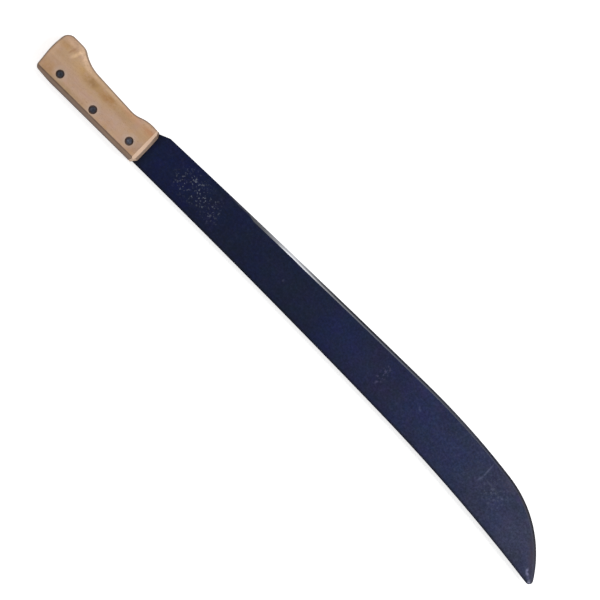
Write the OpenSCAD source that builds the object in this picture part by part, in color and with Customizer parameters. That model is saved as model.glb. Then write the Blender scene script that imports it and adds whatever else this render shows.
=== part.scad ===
// Machete with a 22 inch blade, a full tang and two beech scales held by three rivets.
// X runs along the blade towards its tip and Y towards the cutting edge.
// Z is up, from the outer face of the lower scale.
// The origin is the middle of that face, halfway along the handle.

/* [Blade outline] */
// Length of the blade from the front of the handle to its tip
blade_length = 558.4; // [480:0.1:640]
// Width across the blade at its heel, just ahead of the shoulder
heel_width = 41.7; // [38:0.1:46]
// Width from the straight of the spine to the highest point of the edge
belly_width = 47.5; // [44:0.1:52]
// How far behind the tip the highest point of the edge lies
belly_back = 201; // [185:1:220]
// Radius of the long, nearly straight part of the edge
long_radius = 17500; // [14000:100:24000]
// Radius of the edge where it starts to turn towards the tip
sweep_radius = 840; // [700:10:950]
// Radius of the edge round the tip
tip_radius = 120; // [108:1:128]
// Radius of the blunt nose of the tip
nose_radius = 4; // [2:0.5:8]
// Radius of the first part of the spine, hollow and nearly straight
spine_radius = 12700; // [9000:100:20000]
// How far behind the tip the spine starts to sweep back
back_sweep = 220; // [190:1:260]
// Radius of that back sweep
back_radius = 1950; // [1700:10:2500]
// Distance from the front of the handle to the heel
heel_place = 8.1; // [6:0.1:14]
// How far behind the front of the handle the shoulder starts, between the scales
shoulder_back = 4.6; // [2:0.1:8]
// Radius of the corner between the shoulder and the edge
heel_radius = 6; // [2:0.5:10]

/* [Blade section] */
// Thickness of the tang and of the blade where it leaves the handle
blade_thick = 2.6; // [2.2:0.1:3.2]
// Thickness of the blade at its tip
tip_thick = 1.9; // [1.6:0.1:2.1]
// Width of each ground face where the grind starts
grind_width = 3.6; // [2:0.1:8]
// Width of each ground face at the tip
tip_grind_width = 3.2; // [2:0.1:10]
// Thickness left at the cutting edge
edge_land = 0.4; // [0.2:0.1:0.8]
// Length of unsharpened edge between the handle and the grind
grind_start = 107.2; // [60:0.2:160]
// Length over which the grind runs in to its full width
grind_run_in = 14; // [8:1:30]

/* [Handle outline] */
// Length of the handle
handle_length = 136; // [125:0.5:145]
// Width across the swell at the front of the handle
swell_width = 40.6; // [39:0.2:43]
// Width across the waist behind that swell
waist_width = 35.5; // [33:0.5:37]
// Width at the back of the grip, ahead of the pommel
grip_width = 38.9; // [37:0.5:41]
// Width across the pommel
pommel_width = 48; // [46:0.5:54]
// Distance from the front of the handle to the crest of the swell
swell_place = 18.2; // [15:0.1:20]
// Distance from the front of the handle to the waist
waist_place = 31.6; // [28:0.2:34]
// Distance from the butt to where the belly of the grip turns out to the pommel
flare_place = 38.8; // [37:0.2:43]
// Distance from the butt to the front of the pommel
pommel_place = 25.2; // [24:0.2:28]
// Distance from the origin to the straight back of the handle
back_offset = 18.8; // [17:0.1:20]
// Distance from the back of the handle to the crown of its rounded butt
butt_crown = 30; // [28:0.5:32]
// Length over which the back eases in towards the butt
back_ease = 21.5; // [19:0.5:26]
// Radius that rounds the swell at the front
swell_round = 37; // [30:1:44]
// Radius that rounds the waist
waist_round = 28; // [20:1:36]
// Radius of the hollow where the grip turns out to the pommel
flare_round = 45; // [30:1:50]
// Radius that rounds the front of the pommel
pommel_round = 13; // [8:0.5:16]
// Radius of the rounded butt
butt_round = 80; // [60:1:100]
// Radius that eases the back in towards the butt
back_round = 120; // [80:5:160]
// Radius of the corner between the butt and the belly
belly_corner = 9.4; // [6:0.1:11]
// Radius of the corner between the butt and the back
back_corner = 5; // [3:0.1:7]
// How far the tang lies inside the outline of the scales
tang_inset = 1.7; // [0.5:0.1:2.5]

/* [Scales] */
// Thickness of each scale
scale_thick = 10.6; // [9:0.1:13]
// Radius of the eased outer rim of each scale
rim_radius = 2.5; // [1:0.25:3]
// Width of the bevel along the back of the handle, seen from above
back_bevel_width = 5.2; // [4:0.1:7]
// Depth of that bevel down the side
back_bevel_depth = 3.8; // [3:0.1:5]
// Width of the bevel across the front of each scale, seen from above
front_bevel_width = 3.6; // [2:0.1:5]
// Depth of that bevel
front_bevel_depth = 2.8; // [2:0.1:5]
// How much the front of each scale leans back over its thickness
front_lean = 3.2; // [0.8:0.1:4]
// Radius of the slightly rounded front of the handle, seen from above
front_radius = 300; // [150:10:500]
// Distance from the back of the handle to the crown of that rounded front
front_crown = 13; // [8:0.5:24]
// Length taken off the belly where its corner with the front is cut away
belly_cut_length = 2; // [1:0.1:4]
// Width taken off the front at that corner
belly_cut_width = 3.5; // [2:0.1:6]
// Length taken off the back where its corner with the front is cut away
back_cut_length = 4; // [1:0.1:5]
// Width taken off the front at that corner
back_cut_width = 5.4; // [2:0.1:8]

/* [Rivets] */
// Distance from the front of the handle to each rivet, front to rear
rivet_places = [18.4, 64.6, 111.2];
// Distance from the back of the handle to each rivet, front to rear
rivet_heights = [13.6, 10.6, 12.9];
// Diameter of a rivet's shank
shank_diameter = 4.8; // [4:0.1:5.5]
// Clearance of the shank in its holes, on the diameter
shank_clearance = 0.2; // [0.1:0.05:0.4]
// Diameter of the washer under the peened end, and of the head at the other end
washer_diameter = 8.4; // [7.6:0.1:9.4]
// Clearance of the washer and the head in their counterbores, on the diameter
seat_clearance = 0.4; // [0.2:0.05:0.8]
// Depth of those counterbores
counterbore_depth = 2.4; // [2:0.1:3]
// Thickness of the washer
washer_thick = 0.9; // [0.6:0.1:1.2]
// Diameter of the peened end of a rivet
peen_diameter = 5.8; // [5.7:0.1:7]
// How far the peened end and the head stay below the face of the wood
rivet_recess = 0.4; // [0.2:0.1:0.6]
// Diameter of the hollow in the peened end
dimple_diameter = 2; // [1:0.1:3]
// Depth of that hollow
dimple_depth = 0.4; // [0.2:0.1:0.6]

/* [Hidden] */

// Lacquered steel, beech, zinced rivets and blackened washers
lacquer = "#2b2f4a";
beech = "#b89678";
rivet_steel = "#7a838c";
washer_steel = "#2a2626";

// Farthest that a facet may stray from a rounded outline
facet_error = 0.012;
// Facets round the holes, rivets and washers, and round the circle of the handle's front
round_steps = 48;
front_steps = 360;
// Facets across the quarter round of a scale's rim, and rings across a rivet's domed head
rim_steps = 5;
dome_steps = 5;

// Heights of the middle of the blade and of the outer face of the upper scale
mid_z = scale_thick + blade_thick / 2;
top_z = 2 * scale_thick + blade_thick;

// Ends of the handle, the line of its back and the crest of its swell
front_x = handle_length / 2;
butt_x = -handle_length / 2;
back_y = -back_offset;
belly_y = back_y + swell_width;

// Fall of the belly towards the front for each millimetre ahead of the swell
swell_fall = 0.058;
// The scales' outline runs on past the front by this much before the front is cut
front_margin = 12;

// How far the corners of the butt's outline lie from its end, the back and the belly
crown_out = 0.6;
belly_corner_in = 2.3;
belly_corner_up = 0.3;
back_corner_in = 2.1;
back_corner_up = 1.7;

// Corners of the handle's outline, each with the radius that rounds it.
// They go anticlockwise from the belly at the front, round the butt, to the back.
handle_corners = [
    [[front_x + front_margin, belly_y - swell_fall * (swell_place + front_margin)], 0],
    [[front_x - swell_place, belly_y], swell_round],
    [[front_x - waist_place, back_y + waist_width], waist_round],
    [[butt_x + flare_place, back_y + grip_width], flare_round],
    [[butt_x + pommel_place, back_y + pommel_width], pommel_round],
    [[butt_x + belly_corner_in, back_y + pommel_width + belly_corner_up], belly_corner],
    [[butt_x - crown_out, back_y + butt_crown], butt_round],
    [[butt_x + back_corner_in, back_y + back_corner_up], back_corner],
    [[butt_x + back_ease, back_y], back_round],
    [[front_x + front_margin, back_y], 0]
];
corner_places = [for (corner = handle_corners) corner[0]];
corner_rounds = [for (corner = handle_corners) corner[1]];
last_corner = len(handle_corners) - 1;

// Outline of the tang, split into its belly and its back, and its end inside the butt
tang_outline = handle_points(tang_inset);
tang_belly_line = [for (point = tang_outline) if (point.y > back_y + butt_crown) point];
tang_back_line = [for (point = tang_outline) if (point.y <= back_y + butt_crown) point];
tang_end = min([for (point = tang_outline) point.x]);

// Spine of the blade: two hollow arcs that meet in one tangent
tip_x = front_x + blade_length;
spine_y = back_y + tang_inset;
spine_centre = [front_x, spine_y - spine_radius];
spine_turn = asin((blade_length - back_sweep) / spine_radius);
spine_normal = [sin(spine_turn), cos(spine_turn)];
spine_joint = spine_centre + spine_radius * spine_normal;
back_centre = spine_joint - back_radius * spine_normal;

// Nose of the tip, tangent to the spine
nose_x = tip_x - nose_radius;
nose_rise = sqrt((back_radius + nose_radius) ^ 2 - (nose_x - back_centre.x) ^ 2);
nose_centre = [nose_x, back_centre.y + nose_rise];
nose_end = nose_centre - nose_radius * unit(nose_centre - back_centre);

// Edge of the blade: three arcs, each tangent to the next and the last to the nose
sweep_centre = [tip_x - belly_back, spine_y + belly_width - sweep_radius];
tip_centre = meet(nose_centre, tip_radius - nose_radius, sweep_centre, sweep_radius - tip_radius);
nose_joint = tip_centre + tip_radius * unit(nose_centre - tip_centre);
tip_joint = tip_centre + tip_radius * unit(tip_centre - sweep_centre);
shoulder = [front_x - shoulder_back, tang_belly(front_x - shoulder_back)];
heel = [front_x + heel_place, spine_y + heel_width];
long_centre = meet(heel, long_radius, sweep_centre, long_radius - sweep_radius);
long_joint = long_centre + long_radius * unit(sweep_centre - long_centre);

// Circle that rounds the heel, between the slant of the shoulder and the long arc
shoulder_way = unit(heel - shoulder);
heel_centre = line_meet(
    shoulder - heel_radius * turned(shoulder_way), shoulder_way,
    long_centre, long_radius - heel_radius
);
heel_start = heel_centre + heel_radius * turned(shoulder_way);
heel_end = long_centre + long_radius * unit(heel_centre - long_centre);

// Half thickness left at the edge, and the place where the grind reaches full width
land = edge_land / 2;
grind_x = front_x + grind_start;
full_grind_x = grind_x + grind_run_in;
// Narrowest that the ground face is drawn, where the grind starts
grind_hint = 0.2;

// Length of the rounded end of the tang
tang_round = 10;
// Steps between the sections of the steel: millimetres along the tang, the long arc and
// the sweep, and degrees round the ends of the tang, the heel, the tip and the nose
tang_step = 3;
long_step = 20;
sweep_step = 10;
tang_turn = 6;
heel_turn = 5;
tip_turn = 2.5;
nose_turn = 15;
// Places along the steel where its section is worked out, from the tang to the nose
stations = [
    for (angle = [tang_turn:tang_turn:90 - tang_turn])
        tang_end + tang_round * (1 - cos(angle)),
    each spaced(tang_end + tang_round, shoulder.x, tang_step),
    shoulder.x,
    each arc_places(heel_centre, heel_radius, heel_start.x, heel_end.x, heel_turn),
    each spaced(heel_end.x, grind_x, long_step),
    each spaced(grind_x, full_grind_x, grind_run_in / 4),
    each spaced(full_grind_x, long_joint.x, long_step),
    each spaced(long_joint.x, tip_joint.x, sweep_step),
    each arc_places(tip_centre, tip_radius, tip_joint.x, nose_end.x, tip_turn),
    each arc_places(nose_centre, nose_radius, nose_end.x, nose_x, nose_turn),
    for (angle = [90, 70, 50, 30, 15, 5]) nose_x + nose_radius * cos(angle)
];

// Levels of a scale above its inner face: height, and how far its outline moves inwards
rim_levels = [
    [0, 0],
    for (angle = [0:90 / rim_steps:90])
        [scale_thick - rim_radius * (1 - sin(angle)), rim_radius * (1 - cos(angle))]
];
// Point inside the outline of the handle from which all of it can be seen
face_point = [0, back_y + waist_width * 0.4];

// Crown of the rounded front, the angle at which the front leans back, and the place
// where the front bevel meets it
crown_y = back_y + front_crown;
lean_angle = atan(front_lean / scale_thick);
bevel_front = front_x - front_lean * (scale_thick - front_bevel_depth) / scale_thick;
// Belly of the handle where it ends at the front
front_belly_y = belly_y - swell_fall * swell_place;

// Holes for the shanks, and counterbores for the washers and the heads
shank_hole = shank_diameter + shank_clearance;
counterbore = washer_diameter + seat_clearance;
// Height of a rivet's head, and of the straight wall under its dome
head_height = counterbore_depth - rivet_recess;
head_land = 0.6;
// Undersides of the washers and of the peened ends, and the size of those ends
washer_z = top_z - counterbore_depth;
peen_z = washer_z + washer_thick;
peen_height = top_z - rivet_recess - peen_z;
peen_chamfer = 0.3;

// Reach of a cutter past the wood that it cuts
cut_reach = 20;

// Unit vector along a vector
function unit(v) = v / norm(v);

// Vector turned a quarter turn to the left
function turned(v) = [-v.y, v.x];

// Numbers from first up to last, without last, in equal steps of at most step
function spaced(first, last, step) =
    let (count = max(1, ceil((last - first) / step)))
    [for (i = [0:count - 1]) first + (last - first) * i / count];

// Places along X between first and last, evenly spread over the upper half of a circle
function arc_places(centre, radius, first, last, turn) =
    let (from = acos((first - centre.x) / radius), to = acos((last - centre.x) / radius))
    [for (angle = spaced(-from, -to, turn)) centre.x + radius * cos(angle)];

// Where two circles meet, on the right of the way from the first centre to the second
function meet(c1, r1, c2, r2) =
    let (gap = norm(c2 - c1), way = unit(c2 - c1))
    let (along = (gap ^ 2 + r1 ^ 2 - r2 ^ 2) / (2 * gap))
    c1 + along * way - sqrt(r1 ^ 2 - along ^ 2) * turned(way);

// Where a line that starts inside a circle leaves it
function line_meet(start, way, centre, radius) =
    let (out = start - centre)
    let (along = -out * way + sqrt((out * way) ^ 2 - out * out + radius ^ 2))
    start + along * way;

// Half height of a circle at a distance from its centre, and the heights of its halves
function rise(radius, run) = sqrt(max(0, radius ^ 2 - run ^ 2));
function over(centre, radius, x) = centre.y + rise(radius, x - centre.x);
function under(centre, radius, x) = centre.y - rise(radius, x - centre.x);

// Belly of the tang at a place ahead of the swell
function tang_belly(x) =
    belly_y - swell_fall * (x - front_x + swell_place) - tang_inset * norm([1, swell_fall]);

// Spine and edge of the steel at a place along it
function spine_at(x) =
    x < shoulder.x ? lookup(x, tang_back_line) :
    x < spine_joint.x ? over(spine_centre, spine_radius, x) :
    x < nose_end.x ? over(back_centre, back_radius, x) :
    under(nose_centre, nose_radius, x);
function edge_at(x) =
    x < shoulder.x ? lookup(x, tang_belly_line) :
    x < heel_start.x ? shoulder.y + (x - shoulder.x) * shoulder_way.y / shoulder_way.x :
    x < heel_end.x ? over(heel_centre, heel_radius, x) :
    x < long_joint.x ? over(long_centre, long_radius, x) :
    x < tip_joint.x ? over(sweep_centre, sweep_radius, x) :
    x < nose_joint.x ? over(tip_centre, tip_radius, x) :
    over(nose_centre, nose_radius, x);

// How far a point lies inside the arc that the grind follows
function inside_edge(x, y) =
    x < long_joint.x ? long_radius - norm([x, y] - long_centre) :
    x < tip_joint.x ? sweep_radius - norm([x, y] - sweep_centre) :
    tip_radius - norm([x, y] - tip_centre);

// Height at which a line that far inside that arc crosses a place along X
function line_inside(x, inset) =
    x < long_joint.x ? over(long_centre, long_radius - inset, x) :
    x < tip_joint.x ? over(sweep_centre, sweep_radius - inset, x) :
    over(tip_centre, tip_radius - inset, x);

// Half thickness of the steel before it is ground
function half_thick(x) =
    let (along = max(0, x - shoulder.x) / (tip_x - shoulder.x))
    (blade_thick + (tip_thick - blade_thick) * along) / 2;

// Share of its full width that the grind has at a place along the blade
function grind_share(x) = min(1, max(0, (x - grind_x) / grind_run_in));
function full_width(x) =
    grind_width + (tip_grind_width - grind_width) * max(0, x - grind_x) / (tip_x - grind_x);

// Half thickness of the ground blade at a point
function ground_half(x, y) =
    let (flat = half_thick(x), slope = (flat - land) / full_width(x))
    let (missing = (1 - grind_share(x)) * (flat - land))
    min(flat, land + missing + max(0, inside_edge(x, y)) * slope);

// Section of the blade across one place: spine, start of the grind and edge, below and above
function blade_section(x) =
    let (low = spine_at(x), high = edge_at(x))
    let (inset = max(grind_hint, grind_share(x) * full_width(x)))
    let (crease = x < heel_end.x ? high - inset : line_inside(x, inset))
    let (ys = [low, max(low + grind_hint, min(high - grind_hint, crease)), high])
    let (zs = [for (y = ys) x < heel_end.x ? half_thick(x) : ground_half(x, y)])
    [
        [x, ys[0], -zs[0]], [x, ys[1], -zs[1]], [x, ys[2], -zs[2]],
        [x, ys[2], zs[2]], [x, ys[1], zs[1]], [x, ys[0], zs[0]]
    ];

// Ways in and out of a corner of the handle's outline
function way_in(i) = unit(corner_places[i] - corner_places[i - 1]);
function way_out(i) = unit(corner_places[i + 1] - corner_places[i]);

// How far the outline turns at a corner, positive to the left, where the corner is convex
function turn(i) = atan2(turned(way_in(i)) * way_out(i), way_in(i) * way_out(i));

// Length that the rounding of a corner takes up along each of its two sides
function reach(i) = corner_rounds[i] == 0 ? 0 : corner_rounds[i] * tan(abs(turn(i)) / 2);

// Share of their roundings that two neighbouring corners have room for between them
function room(i) =
    min(1, norm(corner_places[i + 1] - corner_places[i]) / (reach(i) + reach(i + 1)));

// Points round one corner, on the outline moved inwards
function corner_points(i, inset) =
    let (side = sign(turn(i)), radius = corner_rounds[i] * min(room(i - 1), room(i)))
    let (start = corner_places[i] - radius * tan(abs(turn(i)) / 2) * way_in(i))
    let (out = -side * turned(way_in(i)), centre = start - radius * out)
    let (step = 2 * acos(1 - facet_error / radius), count = ceil(abs(turn(i)) / step))
    [
        for (k = [0:count])
            let (angle = turn(i) * k / count)
            centre + (radius - side * inset) * (cos(angle) * out + sin(angle) * turned(out))
    ];

// Outline of the handle, moved inwards
function handle_points(inset) = [
    corner_places[0] + inset * turned(way_out(0)),
    for (i = [1:last_corner - 1]) each corner_points(i, inset),
    corner_places[last_corner] + inset * turned(way_in(last_corner))
];

// Place along X of the rounded front at a place along Y, at the inner face of a scale
function front_at(y) = front_x - front_radius + rise(front_radius, y - crown_y);

// Place of a rivet, counted from the front
function rivet_place(number) = [front_x - rivet_places[number], back_y + rivet_heights[number]];

// Sides of a solid through a row of sections, each a closed loop of as many points.
// Section 0 comes first, and its points go clockwise when seen from section 1.
function loft_sides(count, size) = [
    for (i = [0:count - 2], k = [0:size - 1])
        let (a = i * size + k, b = i * size + (k + 1) % size)
        each [[a, a + size, b], [b, a + size, b + size]]
];

// Holes for the three shanks through whatever lies between two heights
module shank_holes(bottom, top) {
    for (number = [0:2])
        translate(concat(rivet_place(number), bottom - 1))
            cylinder(d = shank_hole, h = top - bottom + 2, $fn = round_steps);
}

// Tang and blade in one piece, as a loft through their sections
module blade_loft() {
    sections = [for (x = stations) blade_section(x)];
    size = len(sections[0]);
    last = (len(sections) - 1) * size;
    polyhedron(
        [for (section = sections) each section],
        concat(
            loft_sides(len(sections), size),
            [[1, 2, 3, 4, 5, 0], [for (k = [1, 0, 5, 4, 3, 2]) last + k]]
        )
    );
}

module blade() {
    color(lacquer)
        translate([0, 0, mid_z])
            difference() {
                blade_loft();
                shank_holes(-blade_thick, blade_thick);
            }
}

// Outline of the handle as a solid with eased outer rim, inner face at height zero
module scale_loft() {
    loops = [
        for (level = rim_levels)
            [for (point = handle_points(level[1])) concat(point, level[0])]
    ];
    size = len(loops[0]);
    last = (len(loops) - 1) * size;
    low = len(loops) * size;
    polyhedron(
        concat(
            [for (loop = loops) each loop],
            [concat(face_point, 0), concat(face_point, scale_thick)]
        ),
        concat(
            loft_sides(len(loops), size),
            [for (k = [0:size - 1]) [low, k, (k + 1) % size]],
            [for (k = [0:size - 1]) [low + 1, last + (k + 1) % size, last + k]]
        )
    );
}

// Leaning, slightly rounded front that the scales are cut to
module front_cone() {
    slope = front_lean / scale_thick;
    translate([front_x - front_radius, crown_y, -1])
        cylinder(
            r1 = front_radius + slope, r2 = front_radius - slope * (scale_thick + 1),
            h = scale_thick + 2, $fn = front_steps
        );
}

// Cutter that takes the corner off the leaning front where it meets a side at y.
// It faces the belly where side is 1 and the back where side is -1.
module corner_cutter(y, side, length, width) {
    slant = atan(length / width);
    translate([front_at(y), y, 0])
        rotate([0, -lean_angle, 0])
            rotate([0, 0, slant * side])
                translate([-length * cos(slant), -cut_reach, -cut_reach])
                    cube([cut_reach, 2 * cut_reach, 3 * cut_reach]);
}

// Section of a cutter that takes the outer corner off an edge lying at the origin.
// The corner is cut back by width along X and by depth along Y.
module bevel_section(width, depth) {
    slope = depth / width;
    polygon([
        [width + cut_reach, slope * cut_reach],
        [-cut_reach, slope * cut_reach],
        [-cut_reach, -depth - slope * cut_reach]
    ]);
}

// Scale with its inner face at height zero and its outer face up
module scale_body() {
    difference() {
        intersection() {
            scale_loft();
            front_cone();
        }
        translate([butt_x - cut_reach, back_y, scale_thick])
            rotate([90, 0, 90])
                linear_extrude(handle_length + 2 * cut_reach)
                    bevel_section(back_bevel_width, back_bevel_depth);
        translate([bevel_front, back_y - cut_reach, scale_thick])
            rotate([90, 0, 180])
                linear_extrude(pommel_width + 2 * cut_reach)
                    bevel_section(front_bevel_width, front_bevel_depth);
        corner_cutter(front_belly_y, 1, belly_cut_length, belly_cut_width);
        corner_cutter(back_y, -1, back_cut_length, back_cut_width);
        shank_holes(0, scale_thick);
        for (number = [0:2])
            translate(concat(rivet_place(number), scale_thick - counterbore_depth))
                cylinder(d = counterbore, h = counterbore_depth + 1, $fn = round_steps);
    }
}

module left_scale() {
    color(beech)
        translate([0, 0, top_z - scale_thick])
            scale_body();
}

module right_scale() {
    color(beech)
        translate([0, 0, scale_thick])
            mirror([0, 0, 1])
                scale_body();
}

// Rivet with a low domed head at the bottom and its peened end at the top
module rivet(number) {
    head = washer_diameter / 2;
    shank = shank_diameter / 2;
    peen = peen_diameter / 2;
    dimple = dimple_diameter / 2;
    crown = head_height - head_land;
    dome = (head ^ 2 + crown ^ 2) / (2 * crown);
    color(rivet_steel)
        translate(concat(rivet_place(number), 0))
            rotate_extrude($fn = round_steps)
                polygon([
                    for (k = [0:dome_steps])
                        let (r = head * k / dome_steps)
                        [r, rivet_recess + dome - sqrt(dome ^ 2 - r ^ 2)],
                    [head, counterbore_depth],
                    [shank, counterbore_depth],
                    [shank, peen_z],
                    [peen, peen_z],
                    [peen, peen_z + peen_height - peen_chamfer],
                    [peen - peen_chamfer, peen_z + peen_height],
                    [dimple, peen_z + peen_height],
                    [0, peen_z + peen_height - dimple_depth]
                ]);
}

module rivet_front() {
    rivet(0);
}

module rivet_middle() {
    rivet(1);
}

module rivet_rear() {
    rivet(2);
}

// Washer on the floor of a counterbore, under the peened end of its rivet
module washer(number) {
    color(washer_steel)
        translate(concat(rivet_place(number), washer_z))
            difference() {
                cylinder(d = washer_diameter, h = washer_thick, $fn = round_steps);
                translate([0, 0, -1])
                    cylinder(d = shank_hole, h = washer_thick + 2, $fn = round_steps);
            }
}

module washer_front() {
    washer(0);
}

module washer_middle() {
    washer(1);
}

module washer_rear() {
    washer(2);
}

blade();
left_scale();
right_scale();
rivet_front();
rivet_middle();
rivet_rear();
washer_front();
washer_middle();
washer_rear();
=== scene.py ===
import math
from typing import NamedTuple

import bpy
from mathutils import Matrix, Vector


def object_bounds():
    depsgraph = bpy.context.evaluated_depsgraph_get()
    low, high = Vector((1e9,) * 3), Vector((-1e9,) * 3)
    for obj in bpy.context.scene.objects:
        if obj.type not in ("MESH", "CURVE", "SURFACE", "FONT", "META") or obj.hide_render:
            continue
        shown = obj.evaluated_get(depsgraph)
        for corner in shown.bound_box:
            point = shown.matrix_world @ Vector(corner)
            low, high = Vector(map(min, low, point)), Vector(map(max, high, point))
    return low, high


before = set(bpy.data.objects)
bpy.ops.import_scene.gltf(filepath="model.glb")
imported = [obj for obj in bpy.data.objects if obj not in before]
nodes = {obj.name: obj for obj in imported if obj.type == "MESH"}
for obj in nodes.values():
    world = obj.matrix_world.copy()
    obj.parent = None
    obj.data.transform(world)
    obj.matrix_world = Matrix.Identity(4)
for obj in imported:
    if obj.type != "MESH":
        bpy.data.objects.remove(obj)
cad_low, cad_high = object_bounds()

RIVET_PLACES = ("front", "middle", "rear")


def middle(name):
    """Middle of a CAD node's box, seen from above."""
    corners = nodes[name].bound_box
    return tuple(sum(corner[axis] for corner in corners) / len(corners) for axis in (0, 1))


# Places of the CAD model, in metres. The middle of the handle's length is the origin.
MID_Z = (cad_low[2] + cad_high[2]) / 2
HANDLE_FRONT = -cad_low[0]
TIP_X = cad_high[0]
RIVETS = [middle("rivet_" + place) for place in RIVET_PLACES]

# The blade's back is two long arcs, which meet at the bend with one slope
SPINE_BEND = (0.4064, -0.0216)
SPINE_SLOPE = 0.0266
SPINE_RADII = (12.74, 1.935)
# Half of the steel's thickness and the depth of the ground faces, at the handle and at the tip
HALF_THICK = (0.0013, 0.00095)
GROUND_DEPTH = (0.0011, 0.00075)
# The crease between the handle's upper face and its back bevel, and the bevel's outer half
CREASE_Y = -0.0141
OUTER_BEVEL = (-0.0184, -0.0168)
# Edges flatter than this many degrees are shaded smooth, on the blade and on the other pieces
FINE_ANGLE = 9.0
ROUND_ANGLE = 22.0
WELD_GAP = 0.000002

# The photograph looks straight down. The middle of its view, its turn and its width at MID_Z.
VIEW_CENTRE = (0.27457, 0.00169)
VIEW_TURN = 44.656
VIEW_HEIGHT = 6.0
VIEW_WIDTH = 0.5798

# Light at a plain level, and a background that is white wherever it is seen
STAGE_CENTRE = (0.28, 0.0, 0.0)
FLOOR_SIZE = 12.0
# A hair below the rest face, so that the two never lie in one plane
FLOOR_Z = -0.0002
FLOOR_GLOW = 0.52
WORLD_LIGHT = 0.45
# Name, place, width and power of each lamp
LAMPS = (
    ("key", (1.5, 0.9, 1.9), 1.4, 38.0),
    ("fill", (-1.2, -0.8, 2.0), 1.6, 12.0),
)


def srgb(red, green, blue):
    """Linear colour from 8 bit sRGB values."""
    linear = []
    for value in (red, green, blue):
        share = value / 255
        if share <= 0.04045:
            linear.append(share / 12.92)
        else:
            linear.append(((share + 0.055) / 1.055) ** 2.4)
    return (*linear, 1.0)


def grey(level):
    """Grey of bare steel, with a touch of blue."""
    return srgb(level, level + 1, level + 5)


class Mark(NamedTuple):
    """Blot of colour where the photograph has one. The turn is in degrees, lengths in metres."""
    centre: tuple
    radii: tuple
    turn: float
    share: float
    colour: tuple
    scuffed: bool = False


# Lacquer from the handle (0) to the tip (1), paler towards the tip as a painted sheen
LACQUER_AND_SHEEN = (
    (0.0, srgb(8, 15, 48)),
    (0.35, srgb(14, 22, 48)),
    (0.58, srgb(28, 33, 64)),
    (0.8, srgb(38, 44, 71)),
    (1.0, srgb(54, 58, 82)),
)
# The inner and the outer part of the ground faces, from the handle (0) to the tip (1). Their
# bright stretch from about 0.27 to 0.41 is a painted highlight, a painted reflection of the light.
GROUND_INNER_AND_HIGHLIGHT = (
    (0.200, grey(58)),
    (0.238, grey(82)),
    (0.272, grey(130)),
    (0.300, grey(215)),
    (0.341, grey(190)),
    (0.376, grey(133)),
    (0.411, grey(106)),
    (0.480, grey(84)),
    (0.722, grey(54)),
    (0.820, srgb(46, 48, 60)),
    (1.000, srgb(46, 47, 64)),
)
GROUND_OUTER_AND_HIGHLIGHT = (
    (0.200, grey(58)),
    (0.238, grey(84)),
    (0.272, grey(130)),
    (0.307, grey(170)),
    (0.341, grey(118)),
    (0.376, grey(70)),
    (0.411, grey(50)),
    (0.480, grey(36)),
    (0.722, grey(44)),
    (0.790, srgb(24, 25, 34)),
    (0.950, srgb(12, 12, 22)),
    (1.000, srgb(48, 46, 60)),
)
# Scraped places near the handle, and rubs, scratches and spots of the lacquer further on
SCRAPES = (
    Mark((0.1230, 0.0060), (0.0150, 0.0110), 0.0, 0.68, srgb(108, 113, 124)),
    Mark((0.1480, 0.0040), (0.0150, 0.0095), -20.0, 0.55, srgb(98, 103, 116)),
)
RUBS = (
    Mark((0.3825, 0.0064), (0.0034, 0.0090), 0.0, 0.75, srgb(98, 92, 124), scuffed=True),
    Mark((0.2499, 0.0035), (0.0010, 0.0010), 0.0, 0.40, srgb(84, 88, 110)),
    Mark((0.4309, 0.0083), (0.0022, 0.0010), -40.0, 0.35, srgb(88, 94, 128)),
    Mark((0.5200, 0.0110), (0.0008, 0.0070), 3.0, 0.50, srgb(98, 102, 128)),
    Mark((0.5193, 0.0008), (0.0010, 0.0036), -8.0, 0.30, srgb(92, 98, 128)),
    Mark((0.5372, 0.0000), (0.0130, 0.0095), 0.0, 0.35, srgb(92, 96, 116), scuffed=True),
    Mark((0.5332, 0.0036), (0.0090, 0.0010), -7.0, 0.28, srgb(88, 94, 114)),
    Mark((0.5437, 0.0170), (0.0100, 0.0050), -15.0, 0.35, srgb(76, 66, 80)),
    Mark((0.5611, 0.0141), (0.0040, 0.0030), 0.0, 0.40, srgb(66, 52, 96)),
    Mark((0.5486, 0.0020), (0.0012, 0.0012), 0.0, 0.40, srgb(98, 102, 132)),
    Mark((0.5418, -0.0100), (0.0012, 0.0012), 40.0, 0.40, srgb(92, 98, 120)),
    Mark((0.6070, -0.0160), (0.0200, 0.0038), -47.0, 0.75, srgb(62, 52, 62)),
    Mark((0.6135, -0.0298), (0.0011, 0.0020), 20.0, 0.80, srgb(130, 130, 164)),
    Mark((0.6160, -0.0322), (0.0020, 0.0012), -20.0, 0.80, srgb(130, 130, 164)),
    Mark((0.6190, -0.0345), (0.0014, 0.0012), 0.0, 0.35, srgb(112, 112, 150)),
)
# Lacquer worn off the very edge, just before the ground faces begin
WORN_EDGE = (
    Mark((0.1720, 0.0269), (0.0140, 0.0015), 1.2, 0.90, srgb(70, 71, 78)),
)
# Spots on the nose, over lacquer and ground steel alike
NOSE_SPOTS = (
    Mark((0.6222, -0.0362), (0.0012, 0.0020), 0.0, 0.95, srgb(150, 152, 172)),
    Mark((0.6255, -0.0362), (0.0009, 0.0014), 0.0, 0.60, srgb(24, 26, 34)),
)
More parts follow.
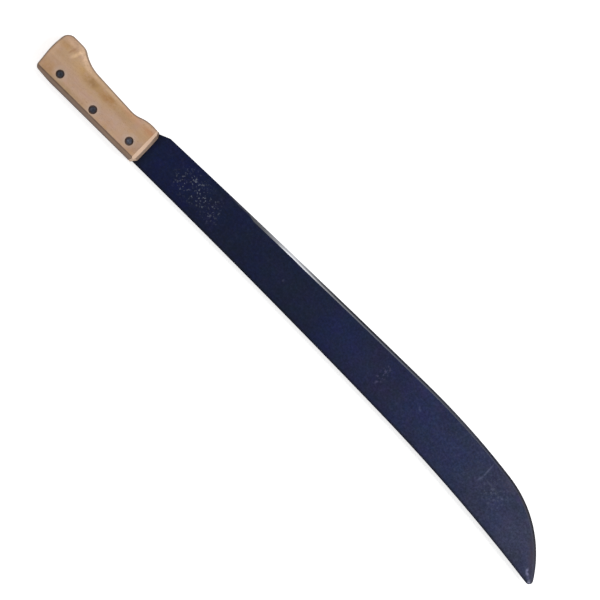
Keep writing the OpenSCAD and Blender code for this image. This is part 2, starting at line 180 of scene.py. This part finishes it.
# Handling stains and paler places of the wood, with painted light among them: painted highlights
# along the flare's rim and along the belly's rounding, and painted shade in the butt's back corner
STAINS_AND_PAINTED_LIGHT = (
    Mark((-0.0065, 0.0102), (0.0420, 0.0070), 0.0, 0.60, srgb(170, 140, 88)),
    Mark((-0.0530, 0.0190), (0.0100, 0.0040), 0.0, 0.45, srgb(180, 146, 96)),
    Mark((0.0085, 0.0020), (0.0060, 0.0055), 0.0, 0.45, srgb(176, 146, 100)),
    Mark((0.0290, 0.0015), (0.0100, 0.0030), 0.0, 0.35, srgb(156, 130, 106)),
    Mark((0.0446, 0.0125), (0.0035, 0.0060), 0.0, 0.45, srgb(176, 146, 138)),
    Mark((-0.0017, -0.0040), (0.0450, 0.0060), 0.0, 0.35, srgb(178, 150, 138)),
    Mark((-0.0168, 0.0117), (0.0110, 0.0055), 0.0, 0.65, srgb(148, 108, 60)),
    Mark((-0.0152, 0.0098), (0.0042, 0.0030), 0.0, 0.55, srgb(128, 96, 58)),
    Mark((0.0070, 0.0100), (0.0095, 0.0045), 0.0, 0.75, srgb(150, 104, 58)),
    Mark((-0.0585, 0.0175), (0.0045, 0.0035), 0.0, 0.50, srgb(166, 122, 70)),
    Mark((-0.0502, 0.0190), (0.0045, 0.0011), 73.0, 0.60, srgb(140, 96, 60)),
    # Painted highlight on the flare's rim
    Mark((-0.0446, 0.0190), (0.0055, 0.0017), 68.0, 0.75, srgb(230, 194, 154)),
    # Painted shade in the butt's back corner
    Mark((-0.0645, -0.0160), (0.0030, 0.0022), 0.0, 0.60, srgb(96, 80, 68)),
    # Painted highlight along the flare's rim
    Mark((-0.0362, 0.0217), (0.0120, 0.0028), -25.0, 0.85, srgb(232, 198, 166)),
    Mark((-0.0330, 0.0115), (0.0065, 0.0050), -30.0, 0.50, srgb(190, 150, 96)),
    # Painted highlight on the flare's rim
    Mark((-0.0567, 0.0243), (0.0080, 0.0028), 0.0, 0.55, srgb(208, 172, 144)),
    Mark((-0.0640, 0.0068), (0.0026, 0.0075), 0.0, 0.55, srgb(204, 170, 142)),
    # Painted highlight along the belly's rounding
    Mark((0.0050, 0.0155), (0.0330, 0.0017), -1.6, 0.55, srgb(206, 176, 146)),
    # Painted highlight along the belly's rounding
    Mark((-0.0200, 0.0168), (0.0080, 0.0020), -6.0, 0.55, srgb(208, 172, 140)),
    Mark((0.0342, 0.0136), (0.0120, 0.0035), 0.0, 0.50, srgb(186, 130, 94)),
    Mark((0.0322, 0.0090), (0.0110, 0.0045), 0.0, 0.50, srgb(148, 118, 86)),
    Mark((0.0578, 0.0150), (0.0070, 0.0035), 0.0, 0.55, srgb(176, 118, 80)),
    # Painted highlight along the belly's rounding
    Mark((0.0562, 0.0182), (0.0090, 0.0018), 3.0, 0.55, srgb(208, 176, 148)),
    Mark((0.0558, -0.0098), (0.0060, 0.0050), 0.0, 0.40, srgb(148, 104, 70)),
    Mark((0.0593, -0.0033), (0.0050, 0.0045), 0.0, 0.70, srgb(144, 118, 106)),
    Mark((-0.0560, -0.0098), (0.0110, 0.0048), -12.0, 0.60, srgb(154, 114, 68)),
    Mark((-0.0300, -0.0125), (0.0240, 0.0024), 0.0, 0.50, srgb(152, 126, 84)),
    Mark((0.0200, -0.0020), (0.0150, 0.0060), 0.0, 0.40, srgb(180, 150, 138)),
    Mark((-0.0400, 0.0020), (0.0130, 0.0060), 0.0, 0.40, srgb(172, 144, 128)),
    Mark((0.0555, 0.0045), (0.0070, 0.0040), 0.0, 0.35, srgb(164, 138, 98)),
)
# Painted highlight: a pale halo in the wood round each washer
PALE_HALOS = [Mark(centre, (0.0056, 0.0056), 0.0, 0.65, srgb(178, 165, 156)) for centre in RIVETS]
# Painted shade in the hollows of the middle and the rear rivet
HOLLOW_SHADE = [
    Mark(centre, (0.0018, 0.0018), 0.0, share, srgb(24, 32, 46))
    for centre, share in zip(RIVETS[1:], (0.35, 0.6))
]


class Shader:
    """Short calls for building one node material."""

    def __init__(self, name):
        self.material = bpy.data.materials.new(name)
        self.material.use_nodes = True
        self.tree = self.material.node_tree
        self.tree.nodes.clear()
        self.output = self.tree.nodes.new("ShaderNodeOutputMaterial")
        self.surface = self.tree.nodes.new("ShaderNodeBsdfPrincipled")
        self.link(self.surface.outputs[0], self.output.inputs[0])
        self.place = self.node("ShaderNodeTexCoord").outputs["Object"]

    def node(self, kind, **settings):
        made = self.tree.nodes.new(kind)
        for key, value in settings.items():
            setattr(made, key, value)
        return made

    def link(self, source, target):
        self.tree.links.new(source, target)

    def put(self, value, target):
        """A number or colour goes on the socket itself, and anything else is linked."""
        if isinstance(value, (int, float, tuple)):
            target.default_value = value
        else:
            self.link(value, target)

    def finish(self, name, value):
        """Sets an input of the surface."""
        self.put(value, self.surface.inputs[name])

    def math(self, operation, first, second=0.0, clamp=False):
        made = self.node("ShaderNodeMath", operation=operation, use_clamp=clamp)
        self.put(first, made.inputs[0])
        self.put(second, made.inputs[1])
        return made.outputs[0]

    def times(self, *values):
        result = values[0]
        for value in values[1:]:
            result = self.math("MULTIPLY", result, value)
        return result

    def away_from(self, value, level):
        """How far a value is from a level."""
        return self.math("ABSOLUTE", self.math("SUBTRACT", value, level))

    def ramp(self, value, low, high, start=0.0, end=1.0, smooth=False):
        """Value from low to high turned into start to end, and held there beyond."""
        made = self.node("ShaderNodeMapRange", clamp=True)
        if smooth:
            made.interpolation_type = "SMOOTHSTEP"
        for number, part in enumerate((value, low, high, start, end)):
            self.put(part, made.inputs[number])
        return made.outputs[0]

    def colours(self, value, stops):
        """Colour that runs through the stops, which are pairs of a value and a colour."""
        made = self.node("ShaderNodeValToRGB")
        band = made.color_ramp
        while len(band.elements) < len(stops):
            band.elements.new(0.5)
        for element, (place, colour) in zip(band.elements, stops):
            element.position = place
            element.color = colour
        self.link(value, made.inputs[0])
        return made.outputs[0]

    def mix(self, share, first, second, blend="MIX"):
        made = self.node("ShaderNodeMix", data_type="RGBA", blend_type=blend)
        self.put(share, made.inputs[0])
        self.put(first, made.inputs[6])
        self.put(second, made.inputs[7])
        return made.outputs[2]

    def stretched(self, scale):
        """Place in the row frame with each axis scaled by itself."""
        made = self.node("ShaderNodeMapping")
        self.link(self.place, made.inputs[0])
        made.inputs["Scale"].default_value = scale
        return made.outputs[0]

    def noise(self, scale, detail, rough, vector=None, warp=0.0):
        made = self.node("ShaderNodeTexNoise")
        self.link(vector or self.place, made.inputs["Vector"])
        made.inputs["Scale"].default_value = scale
        made.inputs["Detail"].default_value = detail
        made.inputs["Roughness"].default_value = rough
        made.inputs["Distortion"].default_value = warp
        return made.outputs[0]

    def parts(self, vector):
        """The three parts of a vector."""
        made = self.node("ShaderNodeSeparateXYZ")
        self.link(vector, made.inputs[0])
        return made.outputs

    def normal(self, kind):
        """The parts of the surface's Normal or of its True Normal."""
        return self.parts(self.node("ShaderNodeNewGeometry").outputs[kind])

    def bump(self, height, depth, strength):
        made = self.node("ShaderNodeBump")
        made.inputs["Strength"].default_value = strength
        made.inputs["Distance"].default_value = depth
        self.link(height, made.inputs["Height"])
        self.finish("Normal", made.outputs[0])


def both_sides(s, shift):
    """Place in the row frame, shifted on the side that faces down, so that marks differ there."""
    below = s.ramp(s.parts(s.place)[2], MID_Z - 0.001, MID_Z + 0.001, 1.0, 0.0)
    made = s.node("ShaderNodeVectorMath", operation="MULTIPLY_ADD")
    s.link(below, made.inputs[0])
    made.inputs[1].default_value = (*shift, 0.0)
    s.link(s.place, made.inputs[2])
    return made.outputs[0]


def blot(s, place, centre, radii, turn):
    """1 inside an ellipse turned by degrees in the XY plane, fading softly to 0 outside it."""
    made = s.node("ShaderNodeMapping", vector_type="TEXTURE")
    s.link(place, made.inputs[0])
    made.inputs["Location"].default_value = (*centre, 0.0)
    made.inputs["Rotation"].default_value = (0.0, 0.0, math.radians(turn))
    # A scale that makes heights count for nothing
    made.inputs["Scale"].default_value = (*radii, 1000.0)
    away = s.node("ShaderNodeVectorMath", operation="LENGTH")
    s.link(made.outputs[0], away.inputs[0])
    return s.ramp(away.outputs["Value"], 0.2, 1.8, 1.0, 0.0, smooth=True)


def marked(s, colour, place, marks, breakup=1.0, scuffs=None):
    """The colour with marks over it, broken up by noise, or by scuffs where a mark says so."""
    for mark in marks:
        shape = blot(s, place, mark.centre, mark.radii, mark.turn)
        cover = s.times(shape, scuffs if mark.scuffed else breakup)
        colour = s.mix(s.times(cover, mark.share), colour, mark.colour)
    return colour


def above_spine(s, x, y):
    """Distance from the blade's back."""
    along = s.math("SUBTRACT", x, SPINE_BEND[0])
    drop = s.times(along, SPINE_SLOPE)
    for side, radius in zip(("MINIMUM", "MAXIMUM"), SPINE_RADII):
        reach = s.math(side, along, 0.0)
        drop = s.math("ADD", drop, s.times(reach, reach, 0.5 / radius))
    return s.math("ADD", s.math("SUBTRACT", y, SPINE_BEND[1]), drop)


def lacquer_colour(s, along, scuffs):
    """Blue-black lacquer with clouds, broad fields and fine mottling."""
    # Painted sheen: the lacquer ramp turns paler towards the tip
    lacquer = s.colours(along, LACQUER_AND_SHEEN)
    cloud = s.noise(45.0, 4.0, 0.6)
    lacquer = s.mix(s.ramp(cloud, 0.35, 0.7, 0.0, 0.3), lacquer, srgb(18, 28, 44))
    # Clouds from violet to greenish grey, which differ less towards the tip
    varied = s.ramp(along, 0.65, 0.85, 1.0, 0.55)
    tint = s.colours(s.noise(75.0, 2.0, 0.5), [
        (0.35, (0.87, 1.03, 0.92, 1.0)),
        (0.65, (1.12, 0.92, 1.05, 1.0)),
    ])
    lacquer = s.mix(varied, lacquer, tint, "MULTIPLY")
    # Broad fields, some bluer and some greyer, some lighter and some darker
    field = s.colours(s.noise(27.0, 3.0, 0.6), [
        (0.38, (1.13, 1.01, 0.86, 1.0)),
        (0.62, (0.90, 1.00, 1.13, 1.0)),
    ])
    lacquer = s.mix(varied, lacquer, field, "MULTIPLY")
    light = s.ramp(s.noise(36.0, 4.0, 0.65), 0.36, 0.64, 0.90, 1.10)
    lacquer = s.mix(1.0, lacquer, light, "MULTIPLY")
    mottle = s.ramp(s.noise(480.0, 4.0, 0.7), 0.3, 0.7, 0.6, 1.4)
    lacquer = s.mix(1.0, lacquer, mottle, "MULTIPLY")
    # More scuffs towards the tip
    wear = s.ramp(along, 0.55, 0.95, 0.05, 0.3)
    return s.mix(s.times(wear, scuffs), lacquer, srgb(84, 88, 112))


def painted_lacquer_shade(s, x, y):
    """Painted shade: darker towards the back and in a line along it, and a painted shadow with
    dirt close to the handle.
    """
    distance = above_spine(s, x, y)
    broad = s.ramp(distance, 0.0, 0.020, 0.86, 1.03)
    line = s.ramp(distance, 0.0012, 0.0030, 0.45, 1.0)
    handle = s.ramp(x, HANDLE_FRONT, HANDLE_FRONT + 0.006, 0.4, 1.0)
    return s.times(broad, line, handle)


def ground_faces(s, axes, along):
    """Where the steel is thinner than its flats, and from 0 to 1 how much of it is ground away."""
    height = s.away_from(axes[2], MID_Z)
    missing = s.math("SUBTRACT", s.ramp(along, 0.0, 1.0, *HALF_THICK), height)
    # The band is a little narrower where it is brightest
    first = s.ramp(along, 0.31, 0.34, 0.00012, 0.00002)
    thinner = s.ramp(missing, first, s.math("ADD", first, 0.00004))
    # The blade's narrow sides are no ground faces
    faces_up = s.ramp(s.math("ABSOLUTE", s.normal("True Normal")[2]), 0.5, 0.6)
    deepest = s.ramp(along, 0.0, 1.0, *GROUND_DEPTH)
    return s.times(thinner, faces_up), s.math("DIVIDE", missing, deepest, clamp=True)


def ground_steel_and_highlight(s, x, along, outward):
    """Bare steel, darker near the edge, bluish further on and stained towards the tip, with a
    painted highlight along its bright middle stretch.
    """
    inner = s.colours(along, GROUND_INNER_AND_HIGHLIGHT)
    outer = s.colours(along, GROUND_OUTER_AND_HIGHLIGHT)
    steel = s.mix(s.ramp(outward, 0.3, 0.55), inner, outer)
    bluish = s.colours(along, [(0.40, (1.0, 1.0, 1.0, 1.0)), (0.55, (0.95, 0.99, 1.12, 1.0))])
    steel = s.mix(1.0, steel, bluish, "MULTIPLY")
    rust = s.ramp(s.noise(70.0, 4.0, 0.65), 0.45, 0.65)
    old = s.ramp(x, 0.42, 0.56)
    return s.mix(s.times(rust, old, 0.5), steel, srgb(40, 36, 42))


def lacquered_blade():
    """Lacquer, duller towards the tip and paler there as a painted sheen, with a bare ground edge
    that carries a painted highlight.
    """
    s = Shader("lacquered_blade")
    axes = s.parts(s.place)
    x = axes[0]
    along = s.ramp(x, HANDLE_FRONT, TIP_X)
    scuffs = s.ramp(s.noise(320.0, 4.0, 0.7), 0.5, 0.7)
    breakup = s.ramp(s.noise(380.0, 2.0, 0.5), 0.35, 0.65, 0.3, 1.0)
    place = both_sides(s, (-0.037, 0.004))
    specks = s.ramp(s.noise(500.0, 2.0, 0.6), 0.575, 0.655)
    lacquer = lacquer_colour(s, along, scuffs)
    lacquer = marked(s, lacquer, place, SCRAPES, specks)
    lacquer = marked(s, lacquer, place, RUBS, breakup, scuffs)
    lacquer = marked(s, lacquer, s.place, WORN_EDGE)
    # Painted shade and shadow multiplied into the lacquer
    lacquer = s.mix(1.0, lacquer, painted_lacquer_shade(s, x, axes[1]), "MULTIPLY")
    ground, outward = ground_faces(s, axes, along)
    colour = s.mix(ground, lacquer, ground_steel_and_highlight(s, x, along, outward))
    s.finish("Base Color", marked(s, colour, place, NOSE_SPOTS, breakup))
    # Towards the tip dirt and old lacquer cover the ground faces
    s.finish("Metallic", s.times(ground, s.ramp(x, 0.48, 0.56, 0.95, 0.05)))
    dull = s.ramp(scuffs, 0.0, 1.0, 0.38, 0.5)
    brushed = s.noise(1.0, 3.0, 0.6, s.stretched((120.0, 4000.0, 400.0)))
    bare = s.ramp(brushed, 0.3, 0.7, 0.3, 0.45)
    s.finish("Roughness", s.math("ADD", dull, s.times(ground, s.math("SUBTRACT", bare, dull))))
    s.finish("Specular IOR Level", 0.08)
    speck = s.noise(900.0, 2.0, 0.6)
    s.bump(s.math("ADD", s.times(speck, 0.6), s.times(brushed, 0.4)), 0.00003, 0.5)
    return s.material


def beech_colour(s, patch):
    """Sanded beech, from pinkish to yellowish in broad patches, with fine mottling."""
    base = s.colours(patch, [
        (0.30, srgb(186, 153, 124)),
        (0.50, srgb(177, 147, 122)),
        (0.68, srgb(174, 139, 106)),
    ])
    mottle = s.ramp(s.noise(300.0, 3.0, 0.6), 0.35, 0.65)
    base = s.mix(s.times(mottle, 0.4), base, srgb(182, 142, 100))
    blush = s.ramp(s.noise(130.0, 3.0, 0.6), 0.5, 0.68)
    return s.mix(s.times(blush, 0.35), base, srgb(186, 148, 138))


def shaded_and_soiled(s, base, axes, normal, up, grain, breakup):
    """Painted shade with dirt on the rims and the ends, painted shade on the back bevels and their
    outer half, and a dark line along their crease.
    """
    # Rims and ends darker: painted shade with dirt, broken by the grain
    dirt = s.times(s.ramp(up, 0.70, 0.96, 0.85, 0.0), s.ramp(up, 0.15, 0.45, 0.5, 1.0))
    dirt = s.times(dirt, s.ramp(grain, 0.35, 0.6, 0.75, 1.0))
    base = s.mix(dirt, base, srgb(104, 88, 78))
    # Painted shade on the back bevels, which face away from the light
    back = s.ramp(normal[1], -0.62, -0.45, 0.75, 0.0)
    base = s.mix(s.times(back, s.ramp(grain, 0.3, 0.6, 0.6, 1.0)), base, srgb(112, 94, 84))
    # Painted shade on the back bevel's outer half
    base = s.mix(s.ramp(axes[1], *OUTER_BEVEL, 0.65, 0.0), base, srgb(90, 82, 84))
    # A dark line along the crease
    crease = s.ramp(s.away_from(axes[1], CREASE_Y), 0.0003, 0.0010, 1.0, 0.0)
    deeper = s.ramp(axes[0], -0.05, 0.03, 0.8, 0.5)
    return s.mix(s.times(crease, breakup, deeper), base, srgb(84, 62, 44))


def front_cuts_and_painted_light(s, base, axes, normal, up, patch):
    """Round the front: pale fresh cuts brightened further as a painted highlight, and a front face
    darkened with dirt and painted shade, darkest near the belly.
    """
    ahead = s.ramp(normal[0], 0.48, 0.56)
    corner = s.times(ahead, s.ramp(normal[1], -0.5, -0.3, 1.0, 0.0))
    # Painted highlight on the pale fresh cuts of the front bevel and the corner
    fresh_and_highlight = s.math("MAXIMUM", s.times(ahead, s.ramp(up, 0.5, 0.6)), corner)
    base = s.mix(s.times(fresh_and_highlight, s.ramp(patch, 0.3, 0.7, 0.95, 0.75)), base, srgb(216, 185, 160))
    # Painted shade with dirt on the front face, darker near the belly
    front = s.times(ahead, s.ramp(up, 0.5, 0.6, 1.0, 0.0), s.math("SUBTRACT", 1.0, corner))
    base = s.mix(s.times(front, 0.8), base, srgb(156, 134, 118))
    belly = s.ramp(axes[1], 0.007, 0.014, 0.0, 0.5)
    base = s.mix(s.times(front, belly), base, srgb(108, 88, 76))
    # The corner towards the belly: painted shade near the steel and a painted highlight above
    low = s.ramp(s.away_from(axes[2], MID_Z), 0.0065, 0.0085, 1.0, 0.0)
    belly_corner_light_and_shade = s.times(front, s.ramp(normal[1], 0.3, 0.5), 0.9)
    return s.mix(belly_corner_light_and_shade, base, s.mix(low, srgb(214, 186, 162), srgb(92, 72, 60)))


def beech():
    """Sanded beech with fine grain, short flecks and handling stains, with painted shade and dirt
    on its rims, and painted light and shade on its bevels and front.
    """
    s = Shader("beech")
    axes = s.parts(s.place)
    patch = s.noise(38.0, 3.0, 0.55)
    breakup = s.ramp(s.noise(190.0, 3.0, 0.6), 0.3, 0.6, 0.35, 1.0)
    base = beech_colour(s, patch)
    base = marked(s, base, both_sides(s, (0.013, -0.003)), STAINS_AND_PAINTED_LIGHT, breakup)
    grain = s.noise(1.0, 4.0, 0.65, s.stretched((14.0, 190.0, 190.0)), 0.4)
    base = s.mix(s.ramp(grain, 0.45, 0.75, 0.0, 0.35), base, srgb(152, 114, 86))
    fleck = s.noise(1.0, 1.0, 0.5, s.stretched((420.0, 1900.0, 1900.0)))
    base = s.mix(s.ramp(fleck, 0.6, 0.74, 0.0, 0.5), base, srgb(138, 104, 78))
    # Painted pale halos round the washers
    base = marked(s, base, s.place, PALE_HALOS, breakup)
    normal = s.normal("Normal")
    up = s.math("ABSOLUTE", normal[2])
    base = shaded_and_soiled(s, base, axes, normal, up, grain, breakup)
    s.finish("Base Color", front_cuts_and_painted_light(s, base, axes, normal, up, patch))
    s.finish("Roughness", s.ramp(grain, 0.3, 0.7, 0.55, 0.72))
    s.finish("Specular IOR Level", 0.3)
    s.bump(s.math("ADD", grain, s.times(fleck, 0.5)), 0.00012, 0.5)
    return s.material


def hammered_steel(name, colour, dark, metallic, rough):
    """Dull steel with the small flats and dirt of hammering, darker towards the butt."""
    s = Shader(name)
    dent = s.noise(900.0, 2.0, 0.5)
    dirt = s.noise(400.0, 4.0, 0.6)
    base = s.mix(s.ramp(dirt, 0.4, 0.65), colour, dark)
    # Painted shade in the rivets' hollows
    base = marked(s, base, s.place, HOLLOW_SHADE)
    tone = s.ramp(s.parts(s.place)[0], RIVETS[2][0], RIVETS[0][0], 0.6, 1.0)
    s.finish("Base Color", s.mix(1.0, base, tone, "MULTIPLY"))
    s.finish("Metallic", metallic)
    s.finish("Roughness", s.ramp(dirt, 0.3, 0.7, rough, rough + 0.2))
    s.bump(dent, 0.0002, 0.6)
    return s.material


def background_rays(tree):
    """1 for the rays that show the background: from the camera, off gloss and through glass."""
    rays = tree.nodes.new("ShaderNodeLightPath")
    seen = rays.outputs["Is Camera Ray"]
    for kind in ("Is Glossy Ray", "Is Transmission Ray"):
        either = tree.nodes.new("ShaderNodeMath")
        either.operation = "MAXIMUM"
        tree.links.new(seen, either.inputs[0])
        tree.links.new(rays.outputs[kind], either.inputs[1])
        seen = either.outputs[0]
    return seen


def pale_floor():
    """White floor that still takes the object's shadow."""
    s = Shader("pale_floor")
    s.finish("Base Color", (0.9, 0.9, 0.9, 1.0))
    s.finish("Roughness", 0.9)
    s.finish("Specular IOR Level", 0.1)
    s.finish("Emission Color", (1.0, 1.0, 1.0, 1.0))
    s.finish("Emission Strength", s.times(background_rays(s.tree), FLOOR_GLOW))
    return s.material


def smooth_by_angle(name, degrees):
    """Modifier group that shades smooth over every edge flatter than the angle."""
    group = bpy.data.node_groups.new(name, "GeometryNodeTree")
    group.interface.new_socket("Geometry", in_out="INPUT", socket_type="NodeSocketGeometry")
    group.interface.new_socket("Geometry", in_out="OUTPUT", socket_type="NodeSocketGeometry")
    made = {}
    for key, kind in (
        ("in", "NodeGroupInput"),
        ("angle", "GeometryNodeInputMeshEdgeAngle"),
        ("flatter", "FunctionNodeCompare"),
        ("faces", "GeometryNodeSetShadeSmooth"),
        ("edges", "GeometryNodeSetShadeSmooth"),
        ("out", "NodeGroupOutput"),
    ):
        made[key] = group.nodes.new(kind)
    made["flatter"].data_type = "FLOAT"
    made["flatter"].operation = "LESS_THAN"
    made["flatter"].inputs[1].default_value = math.radians(degrees)
    made["faces"].domain = "FACE"
    made["edges"].domain = "EDGE"
    link = group.links.new
    link(made["in"].outputs[0], made["faces"].inputs[0])
    link(made["faces"].outputs[0], made["edges"].inputs[0])
    link(made["angle"].outputs[0], made["flatter"].inputs[0])
    link(made["flatter"].outputs[0], made["edges"].inputs["Shade Smooth"])
    link(made["edges"].outputs[0], made["out"].inputs[0])
    return group


def dress(name, material, smoothing):
    """Gives a CAD node its material and smooth shading."""
    piece = nodes[name]
    piece.data.materials.clear()
    piece.data.materials.append(material)
    weld = piece.modifiers.new("weld", "WELD")
    weld.merge_threshold = WELD_GAP
    smooth = piece.modifiers.new("smooth", "NODES")
    smooth.node_group = smoothing


def area_lamp(name, place, width, power):
    """Round lamp that faces the middle of the stage."""
    data = bpy.data.lights.new(name, "AREA")
    data.shape = "DISK"
    data.size = width
    data.energy = power
    lamp = bpy.data.objects.new(name, data)
    lamp.location = place
    way = Vector(STAGE_CENTRE) - Vector(place)
    lamp.rotation_mode = "QUATERNION"
    lamp.rotation_quaternion = way.to_track_quat("-Z", "Y")
    bpy.context.scene.collection.objects.link(lamp)


def set_floor():
    bpy.ops.mesh.primitive_plane_add(size=FLOOR_SIZE, location=(*STAGE_CENTRE[:2], FLOOR_Z))
    floor = bpy.context.object
    floor.name = "floor"
    floor.data.materials.append(pale_floor())


def set_world():
    """White where it is seen, and plain soft light on the object."""
    world = bpy.data.worlds.new("studio")
    bpy.context.scene.world = world
    world.use_nodes = True
    tree = world.node_tree
    tree.nodes.clear()
    output = tree.nodes.new("ShaderNodeOutputWorld")
    background = tree.nodes.new("ShaderNodeBackground")
    background.inputs["Color"].default_value = (1.0, 1.0, 1.0, 1.0)
    level = tree.nodes.new("ShaderNodeMapRange")
    level.inputs["To Min"].default_value = WORLD_LIGHT
    level.inputs["To Max"].default_value = 1.0
    tree.links.new(background_rays(tree), level.inputs["Value"])
    tree.links.new(level.outputs[0], background.inputs["Strength"])
    tree.links.new(background.outputs[0], output.inputs["Surface"])


def set_camera():
    data = bpy.data.cameras.new("photo_view")
    data.lens = data.sensor_width * VIEW_HEIGHT / VIEW_WIDTH
    camera = bpy.data.objects.new("photo_view", data)
    camera.location = (*VIEW_CENTRE, MID_Z + VIEW_HEIGHT)
    camera.rotation_euler = (0.0, 0.0, math.radians(VIEW_TURN))
    bpy.context.scene.collection.objects.link(camera)
    bpy.context.scene.camera = camera


def main():
    smooth_fine = smooth_by_angle("smooth_fine", FINE_ANGLE)
    smooth_round = smooth_by_angle("smooth_round", ROUND_ANGLE)
    dress("blade", lacquered_blade(), smooth_fine)
    wood = beech()
    for side in ("left", "right"):
        dress(side + "_scale", wood, smooth_round)
    rivet = hammered_steel("rivet_steel", srgb(64, 66, 76), srgb(40, 40, 48), 0.7, 0.45)
    washer = hammered_steel("washer_steel", srgb(94, 73, 65), srgb(74, 58, 52), 0.1, 0.7)
    for place in RIVET_PLACES:
        dress("rivet_" + place, rivet, smooth_round)
        dress("washer_" + place, washer, smooth_round)
    set_floor()
    set_world()
    set_camera()
    for lamp in LAMPS:
        area_lamp(*lamp)
    bpy.context.scene.view_settings.view_transform = "Standard"


main()
